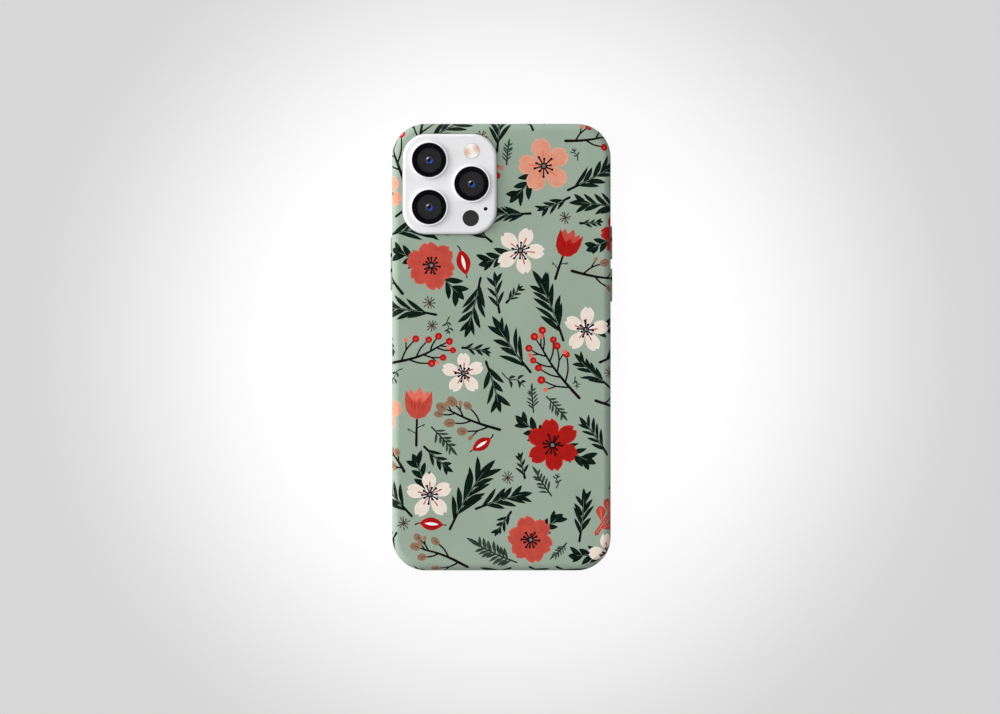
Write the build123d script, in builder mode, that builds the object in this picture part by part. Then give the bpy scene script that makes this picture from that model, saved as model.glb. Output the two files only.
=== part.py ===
"""A slim two-layer phone case with a printed back, three press-through buttons and a camera guard.

Millimetres. The case lies on its open side: Z is 0 at the rim in front of the screen and rises to
the printed back. +Y points to the camera end, and +X to the side with the two volume buttons.
"""

from build123d import *
import os

os.makedirs("parts", exist_ok=True)

# ---- The phone that the case is made for
PHONE_WIDTH = 71.5
PHONE_LENGTH = 146.7
PHONE_THICKNESS = 7.4
PHONE_CORNER = 9.8
PHONE_FIT = 0.2  # play all round the phone

# ---- The case's outside
CASE_WIDTH = 74.9
CASE_LENGTH = 153.1
CASE_CORNER = 11.5
BACK_ROUND = 2.6  # rounding from the back into the side walls

# ---- Layers, from the outside in: printed film, hard shell, soft liner
FILM = 0.1
LAYER_GAP = 0.03
SHELL_WALL = 0.75
SHELL_BACK = 0.9
LINER_BACK = 0.8

# ---- The liner's rim, which stands proud of the screen and is the case's visible front edge
LIP_HEIGHT = 1.1
LIP_REACH = 1.0  # how far the lip reaches in over the screen's edge
RIM_HEIGHT = 1.7
RIM_ROUND = 0.8
LIP_ROUND = 0.4
SHELL_START = RIM_HEIGHT + 0.06
FILM_START = RIM_HEIGHT + 0.3

# ---- Insets of each surface from the case's outline
FILM_IN = FILM
SHELL_OUT = FILM_IN + LAYER_GAP
SHELL_IN = SHELL_OUT + SHELL_WALL
LINER_OUT = SHELL_IN + LAYER_GAP

# ---- Heights of each surface
POCKET_BACK = LIP_HEIGHT + PHONE_THICKNESS + PHONE_FIT
LINER_TOP = POCKET_BACK + LINER_BACK
SHELL_UNDER = LINER_TOP + LAYER_GAP
SHELL_TOP = SHELL_UNDER + SHELL_BACK
FILM_UNDER = SHELL_TOP + LAYER_GAP
FILM_TOP = FILM_UNDER + FILM

POCKET_WIDTH = PHONE_WIDTH + 2 * PHONE_FIT
POCKET_LENGTH = PHONE_LENGTH + 2 * PHONE_FIT
POCKET_CORNER = PHONE_CORNER + PHONE_FIT
POCKET_ROUND = 0.8
POCKET_MIDDLE = LIP_HEIGHT + (POCKET_BACK - LIP_HEIGHT) / 2

# ---- Buttons and the mute switch's opening, all centred on the phone's edge
BUTTON_HEIGHT = 3.2
BUTTON_PROUD = 0.6
BUTTON_PLAY = 0.15
BUTTON_EDGE = 0.35
FLANGE_REACH = 0.8
FLANGE_THICKNESS = 0.22
WEB_THICKNESS = 0.2
WEB_REACH = 1.5  # how far the soft web reaches past the cap
WEB_NECK = 0.5
POWER_BUTTON = {"side": -1, "y": 28.6, "length": 18.3}
VOLUME_UP_BUTTON = {"side": 1, "y": 35.8, "length": 11.4}
VOLUME_DOWN_BUTTON = {"side": 1, "y": 21.3, "length": 11.4}
BUTTONS = {
    "power_button": POWER_BUTTON,
    "volume_up_button": VOLUME_UP_BUTTON,
    "volume_down_button": VOLUME_DOWN_BUTTON,
}
MUTE_Y = 50.3
MUTE_LENGTH = 9.6
MUTE_HEIGHT = 5.2

# ---- Openings in the bottom end
PORT_LENGTH = 13.4
PORT_HEIGHT = 6.2
SPEAKER_LENGTH = 15.0
SPEAKER_HEIGHT = 3.4
SPEAKER_X = 18.6
SHELL_STEP = 0.35  # each hard opening is this much larger all round than the soft one

# ---- Camera guard: a raised plate that bridges the camera opening
GUARD_X = -17.7
GUARD_Y = 55.8
GUARD_WIDTH = 32.2
GUARD_LENGTH = 34.4
GUARD_CORNER = 8.2
GUARD_RISE = 1.44
GUARD_ROUND = 1.1
GUARD_WALL = 1.4
GUARD_ROOF = 0.8
GUARD_PLAY = 0.1
GUARD_FLANGE_REACH = 1.1
GUARD_FLANGE = 0.5
GASKET = 0.2
GASKET_PLAY = 0.015
GUARD_UNDER = LINER_TOP - GASKET - GUARD_FLANGE
GUARD_TOP = FILM_TOP + GUARD_RISE
GUARD_CEILING = GUARD_TOP - GUARD_ROOF

# ---- What the guard holds, placed on the case
LENSES = {
    "upper": (-24.7, 64.0),
    "middle": (-10.2, 55.9),
    "lower": (-24.7, 47.9),
}
FLASH = (-10.2, 67.1)
FLASH_RADIUS = 2.65
DEPTH_SENSOR = (-10.5, 44.1)
DEPTH_SENSOR_RADIUS = 2.75
MICROPHONE = (-5.4, 47.3)
MICROPHONE_RADIUS = 0.62

# ---- One lens position, radii from the outside in and heights over the guard's top
LENS_HOLE = 6.0
TRIM_OUTER = 6.42
TRIM_INNER = 5.72
TRIM_SPIGOT = 5.95
TRIM_HEIGHT = 0.75
TRIM_ROUND = 0.25
COLLAR_OUTER = 5.67
COLLAR_INNER = 4.2
COLLAR_HEIGHT = 0.3
COLLAR_SEAT = 3.9
COLLAR_SEAT_THICKNESS = 0.25
COVER_RADIUS = 5.65
COVER_UNDER = 0.35
COVER_THICKNESS = 0.3
BAFFLE_OUTER = 4.15
BAFFLE_INNER = 1.35
BAFFLE_RIM = 0.1
BAFFLE_DROP = 0.06
BAFFLE_STEPS = 4
BAFFLE_PLUG = 3.85
BAFFLE_FLOOR = 0.2
ELEMENT_RADIUS = 1.3
ELEMENT_HEIGHT = 0.4
ELEMENT_CURVE = 3.5
PANE_PLAY = 0.05
PANE_DOME = 0.12

# ---- Details inside the liner
CELL_RADIUS = 4.3
CELL_PITCH = 4.75
CELL_DEPTH = 0.3
CELL_COLUMNS = 7
CELL_ROWS = 11
CELL_CENTRE_Y = -20.0
FLUTE_WIDTH = 1.6
FLUTE_DEPTH = 0.7
FLUTE_PITCH = 3.2
FLUTES = 4
FLUTE_X = 27.0
FLUTE_MARGIN = 0.9

MUCH = 20.0  # longer than any cut needs


def finish_part(part, name):
    """Labels a finished piece and writes it."""
    part.label = name
    export_step(part, f"parts/{name}.step")


def outline_block(inset, bottom, top, back_round):
    """The case's outline, drawn in by inset, as a block whose upper edge is rounded."""
    with BuildPart() as block:
        with BuildSketch(Plane.XY.offset(bottom)):
            RectangleRounded(
                CASE_WIDTH - 2 * inset, CASE_LENGTH - 2 * inset, CASE_CORNER - inset
            )
        extrude(amount=top - bottom)
        fillet(block.edges().group_by(Axis.Z)[-1], back_round)
    return block.part


def guard_block(reach, bottom, top):
    """The camera guard's outline, drawn out by reach, as a plain block."""
    with BuildPart() as block:
        with BuildSketch(Plane.XY.offset(bottom)):
            with Locations((GUARD_X, GUARD_Y)):
                RectangleRounded(
                    GUARD_WIDTH + 2 * reach,
                    GUARD_LENGTH + 2 * reach,
                    GUARD_CORNER + reach,
                )
        extrude(amount=top - bottom)
    return block.part


def side_slot(side, y, length, height, inner, outer):
    """A round-ended bar that lies across a side wall, from inner to outer, centred on the phone's edge."""
    with BuildPart() as slot:
        with BuildSketch(Plane.YZ.offset(side * inner)):
            with Locations((y, POCKET_MIDDLE)):
                SlotOverall(length, height)
        extrude(amount=side * (outer - inner))
    return slot.part


def button_slot(button, reach, inner, outer):
    """A button's outline, drawn out by reach, as a bar across its side wall."""
    return side_slot(
        button["side"],
        button["y"],
        button["length"] + 2 * reach,
        BUTTON_HEIGHT + 2 * reach,
        inner,
        outer,
    )


def end_openings(step):
    """The charging port and the two speaker slots, drawn out by step, as bars across the bottom wall."""
    with BuildPart() as bars:
        with BuildSketch(Plane.XZ.offset(CASE_LENGTH / 2 - MUCH / 2)):
            with Locations((0, POCKET_MIDDLE)):
                SlotOverall(PORT_LENGTH + 2 * step, PORT_HEIGHT + 2 * step)
            with Locations((-SPEAKER_X, POCKET_MIDDLE), (SPEAKER_X, POCKET_MIDDLE)):
                SlotOverall(SPEAKER_LENGTH + 2 * step, SPEAKER_HEIGHT + 2 * step)
        extrude(amount=MUCH)
    return bars.part


def mute_opening(step):
    """The opening over the mute switch, drawn out by step."""
    return side_slot(
        1,
        MUTE_Y,
        MUTE_LENGTH + 2 * step,
        MUTE_HEIGHT + 2 * step,
        CASE_WIDTH / 2 - MUCH / 2,
        CASE_WIDTH / 2 + MUCH / 2,
    )


def hard_openings(extra):
    """Everything that is cut out of the shell, and out of the film with a little extra."""
    half = CASE_WIDTH / 2
    cuts = [guard_block(GUARD_PLAY + extra, POCKET_MIDDLE, GUARD_TOP)]
    cuts += [end_openings(SHELL_STEP + extra), mute_opening(SHELL_STEP + extra)]
    for button in BUTTONS.values():
        cuts.append(
            button_slot(button, BUTTON_PLAY + extra, half - MUCH / 2, half + MUCH / 2)
        )
    return cuts


# ---- Printed film: the thin decorated skin over the back and sides
with BuildPart() as printed_film:
    add(outline_block(0, FILM_START, FILM_TOP, BACK_ROUND))
    add(
        outline_block(FILM_IN, FILM_START - 1, FILM_UNDER, BACK_ROUND - FILM_IN),
        mode=Mode.SUBTRACT,
    )
    for cut in hard_openings(0.05):
        add(cut, mode=Mode.SUBTRACT)
finish_part(printed_film.part, "printed_film")

# ---- Outer shell: hard plastic tray that carries the film
with BuildPart() as outer_shell:
    add(outline_block(SHELL_OUT, SHELL_START, SHELL_TOP, BACK_ROUND - SHELL_OUT))
    add(
        outline_block(SHELL_IN, SHELL_START - 1, SHELL_UNDER, BACK_ROUND - SHELL_IN),
        mode=Mode.SUBTRACT,
    )
    for cut in hard_openings(0):
        add(cut, mode=Mode.SUBTRACT)
finish_part(outer_shell.part, "outer_shell")


# ---- Inner liner: soft tray with the rim and the lip that hold the phone in
def pocket_block():
    """The space that the phone fills, with its back edge rounded."""
    with BuildPart() as pocket:
        with BuildSketch(Plane.XY.offset(LIP_HEIGHT)):
            RectangleRounded(POCKET_WIDTH, POCKET_LENGTH, POCKET_CORNER)
        extrude(amount=POCKET_BACK - LIP_HEIGHT)
        fillet(pocket.edges().group_by(Axis.Z)[-1], POCKET_ROUND)
    return pocket.part


def cushion_flutes():
    """Short upright grooves near each corner of the two end walls, which let the wall give."""
    with BuildPart() as flutes:
        with BuildSketch(Plane.XY.offset(LIP_HEIGHT + FLUTE_MARGIN)):
            with Locations((-FLUTE_X, 0), (FLUTE_X, 0)):
                with GridLocations(FLUTE_PITCH, POCKET_LENGTH, FLUTES, 2):
                    SlotOverall(2 * FLUTE_DEPTH + FLUTE_WIDTH, FLUTE_WIDTH, 90)
        extrude(amount=POCKET_BACK - LIP_HEIGHT - 2 * FLUTE_MARGIN)
    return flutes.part


def back_cells():
    """A honeycomb of shallow cells in the liner's back, below the camera opening."""
    with BuildPart() as cells:
        with BuildSketch(Plane.XY.offset(POCKET_BACK)):
            with Locations((0, CELL_CENTRE_Y)):
                with HexLocations(CELL_PITCH, CELL_COLUMNS, CELL_ROWS):
                    RegularPolygon(CELL_RADIUS, 6)
        extrude(amount=CELL_DEPTH)
    return cells.part


with BuildPart() as inner_liner:
    add(outline_block(LINER_OUT, RIM_HEIGHT / 2, LINER_TOP, BACK_ROUND - LINER_OUT))
    with BuildSketch():
        RectangleRounded(CASE_WIDTH, CASE_LENGTH, CASE_CORNER)
    extrude(amount=RIM_HEIGHT)
    add(pocket_block(), mode=Mode.SUBTRACT)
    fillet(inner_liner.edges().group_by(Axis.Z)[0], RIM_ROUND)
    with BuildSketch(Plane.XY):
        RectangleRounded(
            POCKET_WIDTH - 2 * LIP_REACH,
            POCKET_LENGTH - 2 * LIP_REACH,
            POCKET_CORNER - LIP_REACH,
        )
    extrude(amount=LIP_HEIGHT, mode=Mode.SUBTRACT)
    lip_edges = inner_liner.faces().sort_by(Axis.Z)[0].inner_wires()[0].edges()
    fillet(lip_edges, LIP_ROUND)
    add(cushion_flutes(), mode=Mode.SUBTRACT)
    add(back_cells(), mode=Mode.SUBTRACT)
    add(
        guard_block(GUARD_FLANGE_REACH + 0.15, POCKET_BACK, LINER_TOP + 1),
        mode=Mode.SUBTRACT,
    )
    add(end_openings(0), mode=Mode.SUBTRACT)
    add(mute_opening(0), mode=Mode.SUBTRACT)
    for button in BUTTONS.values():
        window = button_slot(
            button, WEB_REACH, CASE_WIDTH / 2 - MUCH / 2, CASE_WIDTH / 2 - LINER_OUT / 2
        )
        add(window, mode=Mode.SUBTRACT)
finish_part(inner_liner.part, "inner_liner")


# ---- Buttons: a printed hard cap that slides through the shell, and the soft web that returns it
def button_cap(button):
    """The cap's flange rests on the inside of the shell, and its edge is rounded outside."""
    flange_outer = CASE_WIDTH / 2 - SHELL_IN
    flange_inner = flange_outer - FLANGE_THICKNESS
    with BuildPart() as cap:
        add(button_slot(button, 0, flange_inner, CASE_WIDTH / 2 + BUTTON_PROUD))
        outer_face = cap.faces().sort_by(Axis.X)[-1 if button["side"] > 0 else 0]
        fillet(outer_face.edges(), BUTTON_EDGE)
        add(button_slot(button, FLANGE_REACH, flange_inner, flange_outer))
    return cap.part


def button_web(button):
    """A thin soft plate behind the cap, necked near its edge so that it bends there."""
    web_outer = CASE_WIDTH / 2 - SHELL_IN - FLANGE_THICKNESS
    web_inner = web_outer - WEB_THICKNESS
    neck_depth = WEB_THICKNESS / 2
    with BuildPart() as web:
        add(button_slot(button, WEB_REACH - 0.02, web_inner, web_outer))
        groove_outer = FLANGE_REACH + WEB_NECK
        add(
            button_slot(button, groove_outer, web_outer - neck_depth, web_outer),
            mode=Mode.SUBTRACT,
        )
        add(button_slot(button, FLANGE_REACH, web_outer - neck_depth, web_outer))
    return web.part


for button_name, button in BUTTONS.items():
    finish_part(button_cap(button), f"{button_name}_cap")
    finish_part(button_web(button), f"{button_name}_web")

# ---- Camera guard: the raised plate, its flange under the shell and the recess for the camera
with BuildPart() as camera_guard:
    add(guard_block(0, GUARD_UNDER, GUARD_TOP))
    fillet(camera_guard.edges().group_by(Axis.Z)[-1], GUARD_ROUND)
    add(guard_block(GUARD_FLANGE_REACH, GUARD_UNDER, GUARD_UNDER + GUARD_FLANGE))
    add(guard_block(-GUARD_WALL, GUARD_UNDER, GUARD_CEILING), mode=Mode.SUBTRACT)
    with BuildSketch(Plane.XY.offset(GUARD_TOP)):
        with Locations(*LENSES.values()):
            Circle(LENS_HOLE)
        with Locations(FLASH):
            Circle(FLASH_RADIUS + PANE_PLAY)
        with Locations(DEPTH_SENSOR):
            Circle(DEPTH_SENSOR_RADIUS + PANE_PLAY)
        with Locations(MICROPHONE):
            Circle(MICROPHONE_RADIUS + PANE_PLAY)
    extrude(amount=-2 * GUARD_ROOF, mode=Mode.SUBTRACT)
finish_part(camera_guard.part, "camera_guard")

# ---- Gasket: thin foam tape between the guard's flange and the shell
with BuildPart() as camera_gasket:
    gasket_under = GUARD_UNDER + GUARD_FLANGE + GASKET_PLAY
    gasket_top = gasket_under + GASKET
    add(guard_block(GUARD_FLANGE_REACH, gasket_under, gasket_top))
    add(guard_block(GUARD_PLAY, gasket_under, gasket_top), mode=Mode.SUBTRACT)
finish_part(camera_gasket.part, "camera_gasket")


# ---- Lens positions, each turned from a half section about its own upright axis
def turned(points, place):
    """A closed outline of (radius, height) points, turned about the upright axis at place."""
    x, y = place
    with BuildPart() as part:
        with BuildSketch(Plane(origin=(x, y, 0), x_dir=(1, 0, 0), z_dir=(0, -1, 0))):
            with BuildLine():
                Polyline(*points, close=True)
            make_face()
        revolve(axis=Axis((x, y, 0), (0, 0, 1)))
    return part


def lens_trim(place):
    """The bright ring: a round flange on the guard with a spigot in the guard's hole."""
    top = GUARD_TOP + TRIM_HEIGHT
    ring = turned(
        [
            (TRIM_INNER, GUARD_CEILING),
            (TRIM_SPIGOT, GUARD_CEILING),
            (TRIM_SPIGOT, GUARD_TOP),
            (TRIM_OUTER, GUARD_TOP),
            (TRIM_OUTER, top),
            (TRIM_INNER, top),
        ],
        place,
    )
    with ring:
        fillet(ring.edges().group_by(Axis.Z)[-1], TRIM_ROUND)
    return ring.part


def lens_collar(place):
    """The black collar inside the trim, with an inner seat that carries the baffle."""
    top = GUARD_TOP + COLLAR_HEIGHT
    bevel = (COLLAR_OUTER - COLLAR_INNER) / 4
    seat_top = GUARD_CEILING + COLLAR_SEAT_THICKNESS
    return turned(
        [
            (COLLAR_SEAT, GUARD_CEILING),
            (COLLAR_OUTER, GUARD_CEILING),
            (COLLAR_OUTER, top),
            (COLLAR_INNER + bevel, top),
            (COLLAR_INNER, top - bevel),
            (COLLAR_INNER, seat_top),
            (COLLAR_SEAT, seat_top),
        ],
        place,
    ).part


def lens_baffle(place):
    """The dark stepped cup round the lens: it stands on the collar's seat and plugs its hole."""
    seat_top = GUARD_CEILING + COLLAR_SEAT_THICKNESS
    floor = GUARD_CEILING + BAFFLE_FLOOR
    step_width = (BAFFLE_OUTER - BAFFLE_INNER) / (BAFFLE_STEPS + 1)
    radius, height = BAFFLE_OUTER, GUARD_TOP - BAFFLE_RIM
    outline = [
        (0, GUARD_CEILING),
        (BAFFLE_PLUG, GUARD_CEILING),
        (BAFFLE_PLUG, seat_top),
        (BAFFLE_OUTER, seat_top),
        (radius, height),
    ]
    for _ in range(BAFFLE_STEPS):
        radius -= step_width
        outline.append((radius, height))
        height -= BAFFLE_DROP
        outline.append((radius, height))
    outline += [(BAFFLE_INNER, height), (BAFFLE_INNER, floor), (0, floor)]
    return turned(outline, place).part


def lens_element(place):
    """The coated glass dome that stands in the middle of the baffle."""
    x, y = place
    foot = GUARD_CEILING + BAFFLE_FLOOR
    top = foot + ELEMENT_HEIGHT
    with BuildPart() as element:
        with BuildSketch(Plane.XY.offset(foot)):
            with Locations(place):
                Circle(ELEMENT_RADIUS)
        extrude(amount=ELEMENT_HEIGHT)
        with Locations((x, y, top - ELEMENT_CURVE)):
            Sphere(ELEMENT_CURVE, mode=Mode.INTERSECT)
    return element.part


def lens_cover(place):
    """The clear disc over the whole lens position, just below the trim's edge."""
    under = GUARD_TOP + COVER_UNDER
    with BuildPart() as cover:
        with BuildSketch(Plane.XY.offset(under)):
            with Locations(place):
                Circle(COVER_RADIUS)
        extrude(amount=COVER_THICKNESS)
    return cover.part


for lens_name, place in LENSES.items():
    finish_part(lens_trim(place), f"lens_trim_{lens_name}")
    finish_part(lens_collar(place), f"lens_collar_{lens_name}")
    finish_part(lens_baffle(place), f"lens_baffle_{lens_name}")
    finish_part(lens_element(place), f"lens_element_{lens_name}")
    finish_part(lens_cover(place), f"lens_cover_{lens_name}")


# ---- Small panes that fill the guard's other holes
def pane(place, radius, dome):
    """A round pane through the guard's roof, with a low rounded top."""
    with BuildPart() as disc:
        with BuildSketch(Plane.XY.offset(GUARD_CEILING)):
            with Locations(place):
                Circle(radius)
        extrude(amount=GUARD_ROOF + dome)
        fillet(disc.edges().group_by(Axis.Z)[-1], dome)
    return disc.part


finish_part(pane(FLASH, FLASH_RADIUS, PANE_DOME), "flash_diffuser")
finish_part(
    pane(DEPTH_SENSOR, DEPTH_SENSOR_RADIUS, PANE_DOME / 2), "depth_sensor_window"
)

# ---- Microphone mesh: a small perforated disc set below the guard's surface
with BuildPart() as microphone_mesh:
    with BuildSketch(Plane.XY.offset(GUARD_CEILING)):
        with Locations(MICROPHONE):
            Circle(MICROPHONE_RADIUS)
            with PolarLocations(MICROPHONE_RADIUS / 2, 6):
                Circle(MICROPHONE_RADIUS / 8, mode=Mode.SUBTRACT)
            Circle(MICROPHONE_RADIUS / 8, mode=Mode.SUBTRACT)
    extrude(amount=GUARD_ROOF / 2)
finish_part(microphone_mesh.part, "microphone_mesh")
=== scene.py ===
"""Looks for the floral phone case: the printed film, its inks, and a material for every CAD node.

Lengths are in metres, except in the print, which is drawn and laid out in millimetres.
"""

import math
import random

import bpy
import numpy as np
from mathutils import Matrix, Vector
from mathutils.geometry import delaunay_2d_cdt


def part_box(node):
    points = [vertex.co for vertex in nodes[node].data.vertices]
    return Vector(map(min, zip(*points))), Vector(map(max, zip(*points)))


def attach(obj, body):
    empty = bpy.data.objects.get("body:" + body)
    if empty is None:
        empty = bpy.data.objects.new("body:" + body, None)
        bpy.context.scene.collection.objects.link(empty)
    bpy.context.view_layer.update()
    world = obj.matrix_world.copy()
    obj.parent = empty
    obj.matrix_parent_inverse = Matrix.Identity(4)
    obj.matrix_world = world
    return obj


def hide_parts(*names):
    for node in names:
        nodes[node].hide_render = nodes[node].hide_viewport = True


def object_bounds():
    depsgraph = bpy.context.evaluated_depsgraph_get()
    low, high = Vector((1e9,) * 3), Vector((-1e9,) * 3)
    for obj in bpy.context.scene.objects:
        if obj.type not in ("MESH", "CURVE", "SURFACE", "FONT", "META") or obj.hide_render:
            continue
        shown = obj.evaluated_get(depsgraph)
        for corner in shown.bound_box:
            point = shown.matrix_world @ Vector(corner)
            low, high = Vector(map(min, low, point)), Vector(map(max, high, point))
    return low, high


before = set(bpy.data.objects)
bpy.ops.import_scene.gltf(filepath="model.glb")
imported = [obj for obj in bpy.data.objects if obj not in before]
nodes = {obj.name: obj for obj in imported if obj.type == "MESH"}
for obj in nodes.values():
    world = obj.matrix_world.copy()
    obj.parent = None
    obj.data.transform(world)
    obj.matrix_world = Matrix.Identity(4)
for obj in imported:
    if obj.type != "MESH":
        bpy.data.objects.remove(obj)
cad_low, cad_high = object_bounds()


def srgb(r, g, b):
    """A linear colour with full alpha from 0-255 sRGB values."""
    shares = (c / 255 for c in (r, g, b))
    return (*(c / 12.92 if c <= 0.04045 else ((c + 0.055) / 1.055) ** 2.4 for c in shares), 1.0)


def grey(value):
    """A neutral linear colour."""
    return (value, value, value, 1.0)


# ---------------------------------------------------------------- building materials
def new_material(name):
    """A node material, its tree and its shader."""
    mat = bpy.data.materials.new(name)
    mat.use_nodes = True
    return mat, mat.node_tree, mat.node_tree.nodes["Principled BSDF"]


def noise_factor(tree, scale, detail=3.0, low=0.35, high=0.65, stretch=(1, 1, 1)):
    """A 0-1 factor from noise in object space; scale is in features per metre."""
    coord = tree.nodes.new("ShaderNodeTexCoord")
    mapping = tree.nodes.new("ShaderNodeMapping")
    mapping.inputs["Scale"].default_value = stretch
    noise = tree.nodes.new("ShaderNodeTexNoise")
    noise.inputs["Scale"].default_value = scale
    noise.inputs["Detail"].default_value = detail
    span = tree.nodes.new("ShaderNodeMapRange")
    span.inputs["From Min"].default_value = low
    span.inputs["From Max"].default_value = high
    tree.links.new(coord.outputs["Object"], mapping.inputs["Vector"])
    tree.links.new(mapping.outputs["Vector"], noise.inputs["Vector"])
    tree.links.new(noise.outputs["Fac"], span.inputs["Value"])
    return span.outputs["Result"]


def blend_colours(tree, factor, first, second):
    """first where factor is 0, second where it is 1. Either may be a colour or a socket."""
    mix = tree.nodes.new("ShaderNodeMix")
    mix.data_type = "RGBA"
    tree.links.new(factor, mix.inputs["Factor"])
    for socket, value in ((mix.inputs["A"], first), (mix.inputs["B"], second)):
        if isinstance(value, tuple):
            socket.default_value = value
        else:
            tree.links.new(value, socket)
    return mix.outputs["Result"]


def ramp(tree, value, low, high, shape="SMOOTHSTEP"):
    """0 at low, 1 at high."""
    span = tree.nodes.new("ShaderNodeMapRange")
    span.interpolation_type = shape
    span.inputs["From Min"].default_value = low
    span.inputs["From Max"].default_value = high
    tree.links.new(value, span.inputs["Value"])
    return span.outputs["Result"]


def rescale(tree, factor, low, high):
    """low where factor is 0, high where it is 1."""
    span = tree.nodes.new("ShaderNodeMapRange")
    span.inputs["To Min"].default_value = low
    span.inputs["To Max"].default_value = high
    tree.links.new(factor, span.inputs["Value"])
    return span.outputs["Result"]


def vector_maths(tree, operation, vector, second=(0, 0, 0)):
    """A vector node with a constant second input."""
    node = tree.nodes.new("ShaderNodeVectorMath")
    node.operation = operation
    tree.links.new(vector, node.inputs[0])
    node.inputs[1].default_value = second
    return node


def fine_bump(tree, shader, scale, height):
    """A bump of the given height in metres."""
    coord = tree.nodes.new("ShaderNodeTexCoord")
    noise = tree.nodes.new("ShaderNodeTexNoise")
    noise.inputs["Scale"].default_value = scale
    noise.inputs["Detail"].default_value = 2.0
    bump = tree.nodes.new("ShaderNodeBump")
    bump.inputs["Distance"].default_value = height
    bump.inputs["Strength"].default_value = 1.0
    tree.links.new(coord.outputs["Object"], noise.inputs["Vector"])
    tree.links.new(noise.outputs["Fac"], bump.inputs["Height"])
    tree.links.new(bump.outputs["Normal"], shader.inputs["Normal"])


def vary_roughness(tree, shader, scale, low, high):
    factor = noise_factor(tree, scale)
    tree.links.new(rescale(tree, factor, low, high), shader.inputs["Roughness"])


def satin_print(tree, shader):
    """The even, faintly glossy surface that the whole print shares."""
    vary_roughness(tree, shader, 90.0, 0.34, 0.40)
    shader.inputs["Specular IOR Level"].default_value = 0.15


# ---------------------------------------------------------------- inks
SAGE = ((153, 171, 153), (158, 175, 158))
SAGE_SCALE = 60.0
INKS = {}  # each ink's material slot on the film
INK_MATERIALS = []


def ink(name, first, second, scale=420.0):
    """A print ink of two close tones in brushy patches."""
    mat, tree, shader = new_material("ink_" + name)
    broad = noise_factor(tree, scale, 4.0, 0.38, 0.62)
    tree.links.new(
        blend_colours(tree, broad, srgb(*first), srgb(*second)), shader.inputs["Base Color"]
    )
    satin_print(tree, shader)
    fine_bump(tree, shader, 700.0, 0.000004)
    INKS[name] = len(INK_MATERIALS)
    INK_MATERIALS.append(mat)


ink("sage", *SAGE, SAGE_SCALE)
ink("leaf_dark", (0, 7, 2), (2, 15, 7))
ink("leaf_green", (3, 25, 15), (9, 37, 24), 600.0)
ink("leaf_line", (104, 130, 110), (128, 152, 132))
ink("olive_dark", (24, 38, 26), (34, 50, 36))
ink("olive", (40, 60, 44), (56, 74, 56), 600.0)
ink("stem", (8, 5, 7), (20, 10, 14), 700.0)
ink("red", (196, 20, 16), (178, 14, 14), 500.0)
ink("red_deep", (168, 10, 12), (146, 10, 14), 500.0)
ink("red_light", (216, 58, 48), (226, 82, 70), 900.0)
ink("poppy", (180, 26, 20), (166, 24, 20), 380.0)
ink("poppy_edge", (190, 22, 16), (198, 28, 20), 380.0)
ink("coral", (201, 80, 66), (190, 72, 60), 420.0)
ink("coral_edge", (212, 92, 76), (204, 80, 64), 420.0)
ink("coral_light", (236, 122, 102), (226, 106, 90), 600.0)
ink("coral_dark", (176, 56, 46), (188, 66, 54), 500.0)
ink("salmon", (229, 158, 130), (222, 148, 120), 300.0)
ink("salmon_edge", (234, 170, 144), (229, 162, 136), 300.0)
ink("cream", (243, 230, 216), (236, 221, 206), 380.0)
ink("cream_edge", (245, 235, 226), (241, 229, 218), 380.0)
ink("white", (250, 250, 250), (244, 240, 238))
ink("rust", (172, 60, 30), (192, 84, 52), 700.0)
ink("tan", (150, 124, 98), (138, 108, 84), 700.0)
ink("tan_edge", (150, 110, 88), (160, 120, 96), 700.0)
ink("tan_dark", (116, 84, 60), (128, 96, 72), 900.0)
ink("star", (60, 40, 34), (78, 58, 50), 900.0)
ink("grey", (104, 104, 104), (140, 140, 140), 1400.0)

# ---------------------------------------------------------------- shapes of the print
rng = random.Random(41)


def jitter(amount):
    """A random number between -amount and amount."""
    return (rng.random() - 0.5) * 2 * amount


def around(angle, reach, x=0.0, y=0.0):
    """The point at that angle and distance from (x, y)."""
    return (x + reach * math.cos(angle), y + reach * math.sin(angle))


LINE_STEPS = 4


def smooth_line(points):
    """Catmull-Rom points through the given ones."""
    if len(points) == 2:
        return list(points)
    ends = [points[0]] + list(points) + [points[-1]]
    out = []
    for a, b, c, d in zip(ends, ends[1:], ends[2:], ends[3:]):
        for k in range(LINE_STEPS):
            t = k / LINE_STEPS
            out.append(
                tuple(
                    0.5
                    * (
                        2 * b[i]
                        + (c[i] - a[i]) * t
                        + (2 * a[i] - 5 * b[i] + 4 * c[i] - d[i]) * t * t
                        + (3 * b[i] - a[i] - 3 * c[i] + d[i]) * t**3
                    )
                    for i in (0, 1)
                )
            )
    return out + [points[-1]]


def side_normals(line):
    """The unit vector to the left of the line at each of its points."""
    out = []
    for i in range(len(line)):
        a, b = line[max(i - 1, 0)], line[min(i + 1, len(line) - 1)]
        length = math.dist(a, b) or 1.0
        out.append((-(b[1] - a[1]) / length, (b[0] - a[0]) / length))
    return out


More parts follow.
